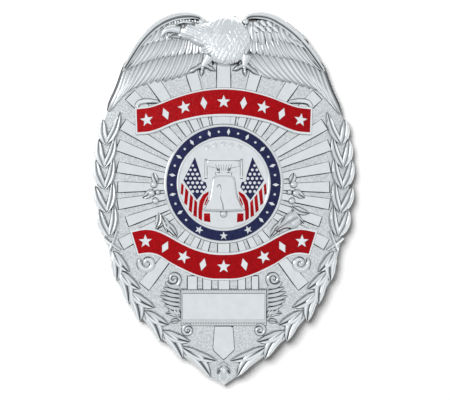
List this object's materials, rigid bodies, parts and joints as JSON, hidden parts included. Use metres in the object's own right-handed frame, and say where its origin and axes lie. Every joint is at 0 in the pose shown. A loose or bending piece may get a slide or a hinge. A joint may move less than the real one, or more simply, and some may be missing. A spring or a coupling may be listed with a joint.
{
  "type": "firefighter badge",
  "caption": "Crowned shield badge struck in relief with an eagle, wreath, rays and enamelled ribbons, a round enamelled seal and a pin behind.",
  "frame": {"origin": "on the flat underside of the rim, at the middle of the outline", "axes": "X across the badge, +Y towards the eagle at its top, +Z out of its face"},
  "size_m": [0.0568, 0.0825, 0.0064],
  "materials": {
    "polished_silver": "bright plated metal, polished on the raised parts and stippled between the rays",
    "red_enamel": "glossy hard enamel",
    "blue_enamel": "glossy hard enamel",
    "pin_steel": "bright steel wire and strip"
  },
  "bodies": {
    "root": {"flag_canton_left": "blue_enamel", "flag_canton_right": "blue_enamel", "flag_stripe_left_1": "red_enamel", "flag_stripe_left_2": "red_enamel", "flag_stripe_left_3": "red_enamel", "flag_stripe_left_4": "red_enamel", "flag_stripe_left_5": "red_enamel", "flag_stripe_left_6": "red_enamel", "flag_stripe_left_7": "red_enamel", "flag_stripe_right_1": "red_enamel", "flag_stripe_right_2": "red_enamel", "flag_stripe_right_3": "red_enamel", "flag_stripe_right_4": "red_enamel", "flag_stripe_right_5": "red_enamel", "flag_stripe_right_6": "red_enamel", "flag_stripe_right_7": "red_enamel", "lower_ribbon_enamel": "red_enamel", "pin_back": "pin_steel", "seal_disc": "polished_silver", "seal_ring_enamel": "blue_enamel", "shield_plate": "polished_silver", "upper_ribbon_enamel": "red_enamel"}
  },
  "joints": []
}
